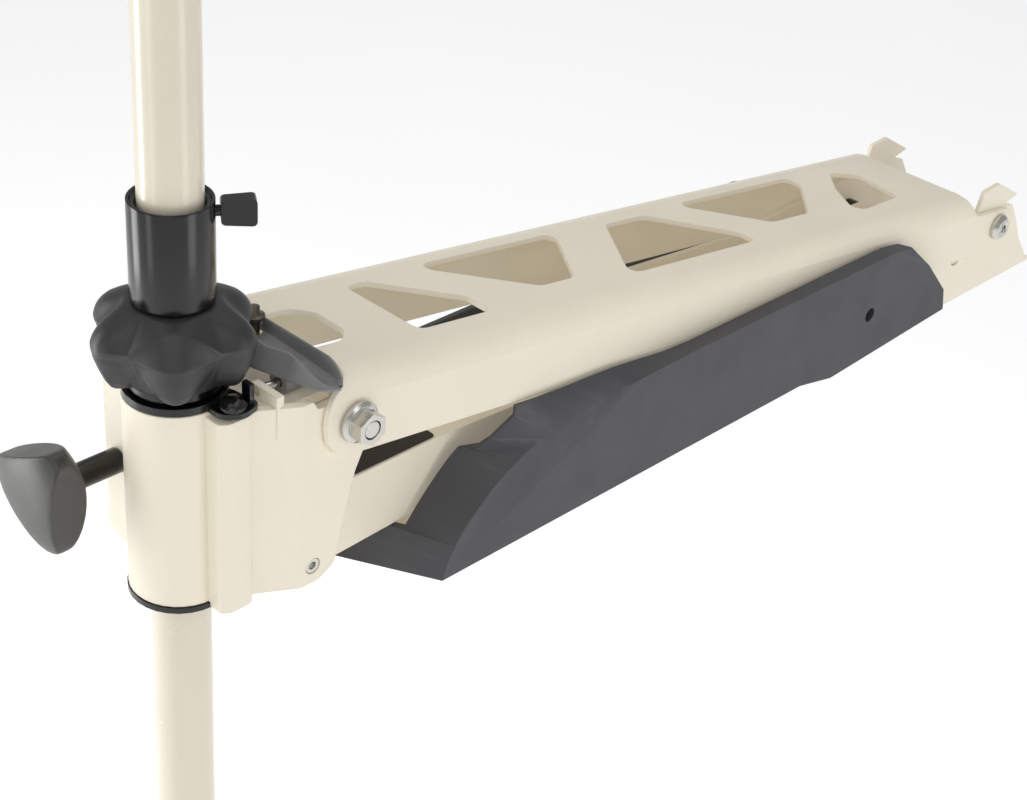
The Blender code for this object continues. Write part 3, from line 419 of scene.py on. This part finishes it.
def star_knob():
    """Six uneven lobes: a sloping dome meets each convex end face in a soft crease."""
    valley = [(150, 23.0), (155, 24.8), (161, 27.3), (167, 30.0), (170, 31.4), (172.5, 32.4)]
    tip = [(150, 29.2), (151.5, 31.0), (155, 33.2), (161, 35.8), (167, 37.9), (170, 38.3),
           (172.5, 38.3)]
    width = [(150, 0.3), (151.5, 0.5), (155, 0.72), (161, 0.9), (167, 1.0), (172.5, 1.0)]
    dome = [(170, 38.3), (172.5, 38.3), (175, 37.7), (177, 36.7), (179, 35.2), (181, 33.1),
            (183, 29.8), (184.5, 26.8), (186, 23.0), (186.8, 20.6)]
    heights = [150, 150.25, 150.8] + [151.5 + 0.7 * k for k in range(50)] + [186.3, 186.8]
    steps = 30      # round each side of a lobe

    def face(share, z):
        """Radius of a lobe's end face; its narrow foot has crisp sides, its top soft ones."""
        inner, outer, reach = steady(valley, z), steady(tip, z), steady(width, z)
        part = min(1.0, share / reach)
        crisp = part ** 1.9
        soft = 0.5 - 0.5 * cos(pi * part)
        blend = min(1.0, max(0.0, (z - 156) / 12))
        return outer - (outer - inner) * (crisp + (soft - crisp) * blend)

    def front(share, z):
        """The first lobe: a broad, nearly flat end face under an arched crease."""
        crease_z = 183.6 - 11.1 * share ** 2
        crease_r = 27.0 + 5.4 * share ** 2
        trim = -3.5 * (1 - share) ** 0.6
        if z >= crease_z:
            return 20.6 + (crease_r - 20.6) * ((186.8 - z) / (186.8 - crease_z)) ** 0.9
        if z > 170:
            t = (crease_z - z) / max(0.1, crease_z - 170)
            return crease_r + (face(share, 170) + trim - crease_r) * t
        return face(share, z) + trim * min(1.0, max(0.0, (z - 152) / 15))

    def radius(number, share, z):
        if number == 0:
            return front(share, z)
        if z <= 170:
            return face(share, z)
        groove, crest = front(1.0, z), steady(dome, z)
        return crest + (groove - crest) * (0.5 - 0.5 * cos(pi * share ** 1.15))

    def section(z, fixed=None):
        under = (151 - z) ** 2 * 1.1 if z < 151 else 0.0
        ring = []
        for number, lobe in enumerate(STAR_LOBES):
            before = STAR_VALLEYS[number - 1] - (360 if number == 0 else 0)
            for start, end, away in ((before, lobe, True), (lobe, STAR_VALLEYS[number], False)):
                for k in range(steps):
                    t = k / steps
                    r = fixed or radius(number, 1 - t if away else t, z) - under
                    angle = STAR_PHASE + radians(start + (end - start) * t)
                    ring.append((r * cos(angle), COLUMN_Y + r * sin(angle), z))
        return ring

    sections = [section(z) for z in heights]
    sections = ([section(150, 19.0)] + sections
                + [section(186.8, 14.7), section(183, 14.7), section(183, 19.0),
                   section(150, 19.0)])
    mesh = rings("star_knob_fine", sections, closed=False)
    give(mesh, "star_knob", KNOB, angle=60)


def release_lever():
    """A thin-walled thumb trough along x: open at one end, shallow and rounded at the other.

    Each curve below runs along x: the near wall's rim and foot, the floor's underside, the
    two rims' heights, and the far wall.
    """
    near_rim = [(-18, 48), (-8.5, 48.5), (8, 46.8), (33, 42), (40, 43.5), (46, 45), (54, 48.6)]
    near_low = [(-18, 33), (15, 30), (33, 36.5), (47, 41.5), (54, 46.6)]
    low_z = [(-18, 148), (15, 147), (33, 146), (47, 145.2), (54, 146.7)]
    rim_z = [(-18, 155), (33, 155), (38, 152.5), (43, 149.4), (47, 148), (54, 148.2)]
    far_z = [(-18, 155), (39, 155), (46, 152.5), (50, 150.5), (54, 148.8)]
    far_y = [(-18, 56), (42, 56), (47, 55), (51, 53.4), (54, 51.4)]
    sections = []
    stations = [-18, -14, -8.5, -2, 4, 10, 15, 20, 26, 30, 33, 36, 39, 42, 44.5, 47, 49, 51,
                52.6, 53.6, 54]
    for x in stations:
        squeeze = max(0.0, (x - 50) / 4) ** 2
        bottom = steady(low_z, x)
        top, far_top, far = steady(rim_z, x), steady(far_z, x), steady(far_y, x)
        low, lip = steady(near_low, x), steady(near_rim, x)
        if lip - low > 6 and x < 34:
            lip = min(lip, low + 9.5)
        floor = bottom + 1.6
        pinch = (low + far) / 2
        ring = [(low, bottom + 1.0), (low + 0.6, bottom), ((low + far) / 2, bottom - 0.4),
                (far - 1.6, bottom), (far - 0.3, bottom + 1.2), (far, (bottom + far_top) / 2),
                (far, far_top - 0.5), (far - 0.5, far_top), (far - 1.2, far_top),
                (far - 1.6, far_top - 0.5), (far - 1.9, (floor + far_top) / 2),
                (far - 3.0, floor + 0.7), ((lip + far) / 2, floor), (lip + 2.6, floor + 0.4),
                (lip + 1.7, (floor + top) / 2), (lip + 0.9, top - 0.4), (lip + 0.4, top),
                (lip - 0.5, top), (lip - 1.1, top - 0.5),
                ((low + lip) / 2 - 0.8, (bottom + top) / 2 + 0.4)]
        ring = [(y + (pinch - y) * 0.35 * squeeze, z) for y, z in ring]
        sections.append([(x, COLUMN_Y + y, z) for y, z in ring])
    mesh = rings("release_lever_fine", sections)
    boss_profile = rounded([(2.5, 37.0, 0.3), (6.4, 37.0, 0.6), (6.4, 55.8, 0.6),
                            (2.5, 55.8, 0.3)], 3)
    boss = lathe("boss", boss_profile, (0, 0, 0), "Y", 40)
    boss.transform(Matrix.Translation((LEVER_PIVOT[0] * MM, COLUMN_Y * MM, LEVER_PIVOT[1] * MM)))
    hole = lathe("hole", [(0.001, 130), (4.4, 130), (4.4, 170), (0.001, 170)],
                 (LATCH_PIN[0], LATCH_PIN[1]), "Z", 40)
    mesh = carved(mesh, [(boss, "UNION"), (hole, "DIFFERENCE")])
    give(mesh, "release_lever", LEVER, angle=40)


def tension_knob():
    """A rounded triangle cut by a lens: domed face, shield-like flats, glossy round stem."""
    steps = 180
    stem_start = -30        # the grip ends and the stem begins here, from the column's axis
    lens = [(-57.4, 8), (-57.0, 13.5), (-56.4, 18.0), (-55.5, 22.0), (-54.3, 25.5),
            (-52.8, 28.4), (-51.0, 30.6), (-48.5, 32.0), (-46.0, 31.6), (-43.5, 29.9),
            (-41.0, 27.0), (-39.0, 23.8), (-37.3, 20.2), (-35.8, 15.8), (-34.6, 11.8),
            (-33.3, 8.6), (-32.0, 7.0), (-30.0, 6.4), (-27.0, 6.25), (-7.0, 6.25), (-6.3, 5.8)]
    depths = ([-57.4 + 0.4 * k for k in range(69)]
              + [-29.0, -26.0, -20.0, -13.0, -7.0, -6.3])

    def lower(first, second, sharpness):
        """The lower of two values, with a rounded change from one to the other."""
        return -log(exp(-sharpness * first) + exp(-sharpness * second)) / sharpness

    def outline(angle):
        """Distance to a triangle's side, its corners rounded and its sides a little full."""
        far = max(cos(angle - radians(115 + 120 * k)) for k in range(3))
        flat = 19.0 / max(far, 0.5)
        return lower(flat, 30.5, 0.55)

    sections = []
    for depth in depths:
        size = steady(lens, depth)
        rise = 0.0 if depth > stem_start else 0.8
        ring = []
        for k in range(steps):
            angle = 2 * pi * k / steps
            radius = lower(outline(angle), size, 1.6)
            ring.append((TENSION[0] + radius * cos(angle), COLUMN_Y + depth,
                         TENSION[1] + rise + radius * sin(angle)))
        sections.append(ring)
    mesh = rings("tension_knob_fine", sections)
    bore = lathe("bore", [(0.001, -30), (3.2, -30), (3.2, 5), (0.001, 5)], (0, 0, 0), "Y", 32)
    bore.transform(Matrix.Translation((TENSION[0] * MM, COLUMN_Y * MM, TENSION[1] * MM)))
    mesh = carved(mesh, [(bore, "DIFFERENCE")])
    give(mesh, "tension_knob", GRIP, angle=45)
    mesh.materials.append(GLOSS)
    gloss_start = stem_start - 3.0
    for polygon in mesh.polygons:
        if polygon.center.y > (COLUMN_Y + gloss_start) * MM:
            polygon.material_index = 1


def propeller():
    """Two swept blades of airfoil section with rounded tips, on a smooth turned hub."""
    hub = lathe("propeller_fine", [(4.3, -16), (14.4, -16), (15.6, -15.4), (18.2, -12.6),
                                   (20.2, -9.4), (21.4, -4.6), (22, 0.5), (22, 17.4),
                                   (21.4, 19.4), (19.4, 21.6), (18.6, 22), (4.3, 22)],
                (0, 0, 0), "X", 72)
    spans, across = 44, 12
    root, reach = 16, 111       # where a blade starts inside the hub, and its length
    tip = 0.62                  # share of the length where the rounded tip begins
    blades = []
    for number in range(2):
        sections = []
        for k in range(spans):
            t = 1.0 - (1.0 - k / (spans - 1)) ** 1.7
            radius = root + reach * t
            chord = 30 + 34 * sin(pi * min(1.0, 0.15 + 0.75 * t))
            if t > tip:
                chord *= max(0.0, 1 - ((t - tip) / (1 - tip)) ** 2.6) ** 0.5
            chord = max(chord, 3.0)
            pitch = radians(62 - 42 * t)
            thick = (3.6 - 2.0 * t) * min(1.0, chord / 20)
            upper, lower = [], []
            for i in range(across + 1):
                c = cos(pi * i / across)
                skin = thick / 2 * (1 - c * c) ** 0.5 * (1.15 - 0.25 * c) + 0.05
                upper.append((c, skin))
                lower.append((-c, -skin))
            ring = []
            for c, skin in upper + lower[1:-1]:
                u = c * chord / 2 + 16 * t * t
                ring.append((u * sin(pitch) + skin * cos(pitch),
                             u * cos(pitch) - skin * sin(pitch), radius))
            sections.append(ring)
        blade = rings("blade", sections)
        blade.transform(Matrix.Rotation(pi * number + radians(55), 4, "X"))
        blades.append((blade, "UNION"))
    mesh = carved(hub, blades)
    mesh.transform(Matrix.Translation(Vector((PROPELLER_X, COLUMN_Y, MOTOR_Z)) * MM))
    give(mesh, "propeller", MOTOR, angle=35)


def twist_grip():
    """A rubber grip with a flared stop and fine rings round its barrel."""
    ribbed, rib_pitch, rib_depth = (22, 104), 5.0, 0.55
    outside = [(0, 15.0), (1.2, 16.2), (5.6, 16.5), (9, 16.0), (13, 14.8), (20, 14.0),
               (60, 14.5), (100, 15.5), (108, 15.2), (114, 14.4), (117.6, 12.4), (119.6, 8.5)]
    profile = [(8.35, -0.35), (14.4, -0.35)]
    for k in range(240):
        along = 0.3 + 0.5 * k
        if along > 119.6:
            break
        groove = 0.0
        if ribbed[0] < along < ribbed[1]:
            turn = 2 * pi * (along - ribbed[0]) / rib_pitch
            groove = rib_depth * max(0.0, cos(turn)) ** 3
        profile.append((steady(outside, along) - groove, -along))
    profile += [(5.0, -119.9), (0.0, -120.0), (0.0, -106.0), (8.35, -106.0)]
    profile = [(r, GRIP_X + x) for r, x in profile]
    mesh = lathe("twist_grip_fine", profile, (0, COLUMN_Y, TILLER_Z), "X", 64)
    give(mesh, "twist_grip", RUBBER, angle=50)


def side_cover():
    """The right cover: a flat side whose front edge curves into a swept nose and top band."""
    def nose(x, z):
        """A point on the plane of the swept nose."""
        return (x, -287.6 + (0.375 * (x - 62.0) + 0.599 * (z - 15)) / 0.707, z)

    pairs = [((62, -287.6, 15), nose(0.1, 15)), ((62, -284.4, 24), nose(0.1, 25)),
             ((62, -280.0, 32), nose(0.1, 33.5)), ((62, -278.6, 34.2), nose(33.5, 33.5)),
             ((62, -274.0, 40), nose(33.5, 40)), ((62, -268.4, 45.6), nose(33.6, 45)),
             ((62, -262.0, 51.2), nose(33.9, 51)), ((62, -254.6, 56.8), nose(34.5, 58)),
             ((62, -247.4, 61.4), nose(35.4, 64)), ((62, -239.4, 65.6), nose(36.5, 68.5)),
             ((62, -231.0, 69.0), nose(45.0, 69)), ((62, -222.0, 71.4), (49.0, -246.0, 75.5)),
             ((62, -212.0, 73.2), (52, -233.0, 85.0)), ((62, -210.5, 73.4), (52, -232.5, 90.4)),
             ((62, -196.0, 75.0), (52, -216.0, 89.4)), ((62, -180.0, 76.5), (52, -198.0, 88.0)),
             ((62, -163.0, 77.4), (52, -180.0, 87.0)), ((62, -146.0, 78.1), (52, -160.0, 85.4)),
             ((62, -130.0, 78.6), (52, -138.0, 82.4)), ((62, -115.0, 78.9), (52, -120.0, 79.8)),
             ((62, -98.0, 79.0), (52, -98.0, 78.5))]
    rear = [(62, 80, 77.5), (59, 104, 73), (61, 126, 54), (62, 148, 30), (62, 152, 14.5),
            (62, 34, 8.5), (62, 3, 15)]
    points = [p for pair in pairs for p in pair]
    faces = [(2 * k, 2 * k + 1, 2 * k + 3, 2 * k + 2) for k in range(len(pairs) - 1)]
    first = len(points)
    points += rear + [(52, 80, 77.2), (52, 99, 74)]
    last = 2 * (len(pairs) - 1)
    faces += [(last, last + 1, first + 7, first), (first, first + 7, first + 8, first + 1)]
    faces.append(tuple(range(0, last + 1, 2)) + tuple(range(first, first + 7)))
    mesh = mesh_from("side_cover_right_fine", points, faces)
    shape = bmesh.new()
    shape.from_mesh(mesh)
    bmesh.ops.triangulate(shape, faces=shape.faces)
    bmesh.ops.recalc_face_normals(shape, faces=shape.faces)
    widest = max(shape.faces, key=lambda f: f.calc_area())
    if widest.normal.x < 0:
        bmesh.ops.reverse_faces(shape, faces=shape.faces)
    shape.to_mesh(mesh)
    shape.free()
    mesh = walled(mesh, COVER_WALL)
    post = lathe("post", [(4.6, 46.2), (7.5, 46.2), (7.5, 60.8), (4.6, 60.8)],
                 COVER_SCREW, "X", 40)
    hole = lathe("hole", [(0.0, 40), (4.6, 40), (4.6, 70), (0.0, 70)], COVER_SCREW, "X", 40)
    past_middle = block((-8, -400, 0), (0.3, 300, 120))
    mesh = carved(mesh, [(hole, "DIFFERENCE"), (post, "UNION"), (past_middle, "DIFFERENCE")])
    give(mesh, "side_cover_right", COVER, angle=45)


def depth_collar():
    """A plain ring with rounded rims, its top face dished towards the bore."""
    profile = rounded([(14.7, 187.2, 0.3), (18.7, 187.2, 1.0), (18.7, 235, 0.7),
                       (17.6, 235, 0.3), (16.6, 233.4, 0.6), (15.2, 233.2, 0.3),
                       (14.7, 232.0, 0.3)], 4)
    give(lathe("depth_collar_fine", profile, (0, COLUMN_Y)), "depth_collar", GLOSS, angle=40)


FINER = {"star_knob": star_knob, "release_lever": release_lever, "tension_knob": tension_knob,
         "depth_collar": depth_collar, "propeller": propeller, "twist_grip": twist_grip,
         "side_cover_right": side_cover}
for build in FINER.values():
    build()

# ---------------------------------------------------------------- carried-over nodes

HEAD_SEGMENTS = 5       # the head's rounded edges are wide, so they get more steps
EDGE_SEGMENTS = 2
LABEL_WIDER = 28.4 / 24.0

EDGE = {"upper_arm": 0.7, "lower_arm": 0.6, "base_channel": 0.5, "tilt_bracket": 0.9,
        "side_cover_left": 0.6, "top_bearing": 0.5, "head_base": 3.0, "head_cover": 5.0,
        "skeg": 0.8, "collar_screw": 0.8}
for name in frame["nodes"]:
    if name not in FINER:
        segments = HEAD_SEGMENTS if name.startswith("head") else EDGE_SEGMENTS
        fine = refined(name, EDGE.get(name, 0.0), segments)
        if name == "arm_label":
            fine.data.transform(Matrix.Scale(LABEL_WIDER, 4, (1, 0, 0)))

# ---------------------------------------------------------------- stage, light, camera

floor_mesh = bpy.data.meshes.new("floor")
floor_mesh.from_pydata([(FLOOR_HALF * x, FLOOR_HALF * y, FLOOR_Z)
                        for x, y in ((-1, -1), (1, -1), (1, 1), (-1, 1))], [], [(0, 1, 2, 3)])
floor = bpy.data.objects.new("floor", floor_mesh)
bpy.context.scene.collection.objects.link(floor)
white = Nodes("studio_floor")
white.link(white.ramp(white.noise(1.5), [(0.3, (0.9, 0.9, 0.9)), (0.7, (0.93, 0.93, 0.93))]),
           white.shader.inputs["Base Color"])
white.shader.inputs["Roughness"].default_value = 0.9
white.shader.inputs["Emission Color"].default_value = (1.0, 1.0, 1.0, 1.0)
white.shader.inputs["Emission Strength"].default_value = 0.45
floor_mesh.materials.append(white.material)

# The backdrop above the floor shows white, brighter than the light that it casts.
world = bpy.data.worlds.new("studio")
world.use_nodes = True
background = world.node_tree.nodes["Background"]
background.inputs["Color"].default_value = (1.0, 1.0, 1.0, 1.0)
sky = world.node_tree
rays = sky.nodes.new("ShaderNodeLightPath")
seen = sky.nodes.new("ShaderNodeMapRange")
seen.inputs["To Min"].default_value = 0.42
seen.inputs["To Max"].default_value = 1.0
sky.links.new(rays.outputs["Is Camera Ray"], seen.inputs["Value"])
sky.links.new(seen.outputs["Result"], background.inputs["Strength"])
bpy.context.scene.world = world


def softbox(name, place, width, height, power):
    """A rectangular lamp aimed at the mount, which the camera itself doesn't see."""
    light = bpy.data.lights.new(name, "AREA")
    light.shape = "RECTANGLE"
    light.size = width
    light.size_y = height
    light.energy = power
    lamp = bpy.data.objects.new(name, light)
    lamp.location = place
    lamp.rotation_euler = (TARGET - Vector(place)).to_track_quat("-Z", "Y").to_euler()
    lamp.visible_camera = False
    bpy.context.scene.collection.objects.link(lamp)


TARGET = Vector((0.0, -0.25, 0.1))
softbox("left_box", (-1.25, -1.45, -0.05), 0.6, 1.9, 18.0)
softbox("front_box", (-0.1, -2.1, 0.1), 0.4, 1.8, 3.0)
softbox("fill_box", (1.1, -1.5, 1.5), 1.5, 1.2, 7.0)
softbox("right_box", (1.7, 0.1, 0.0), 0.6, 1.8, 6.0)
softbox("top_box", (-0.2, -0.1, 1.9), 2.0, 2.0, 12.0)

# The camera stands at the photograph's angle: turned, tilted and slightly rolled (radians).
turn, tilt, roll = 0.7356, 0.5546, 0.0797
stand = Vector((0.6039, -0.8447, 0.6042))
back = Vector((sin(turn) * cos(tilt), -cos(turn) * cos(tilt), sin(tilt)))
level = Vector((cos(turn), sin(turn), 0.0))
upright = back.cross(level)
right = cos(roll) * level + sin(roll) * upright
up = -sin(roll) * level + cos(roll) * upright
lens = bpy.data.cameras.new("camera")
lens.sensor_width = 36.0
lens.lens = 68.8995
lens.clip_start = 0.01
camera = bpy.data.objects.new("camera", lens)
camera.matrix_world = Matrix(((right.x, up.x, back.x, stand.x), (right.y, up.y, back.y, stand.y),
                              (right.z, up.z, back.z, stand.z), (0, 0, 0, 1)))
bpy.context.scene.collection.objects.link(camera)
bpy.context.scene.camera = camera
bpy.context.scene.view_settings.view_transform = "Standard"

bpy.context.view_layer.update()
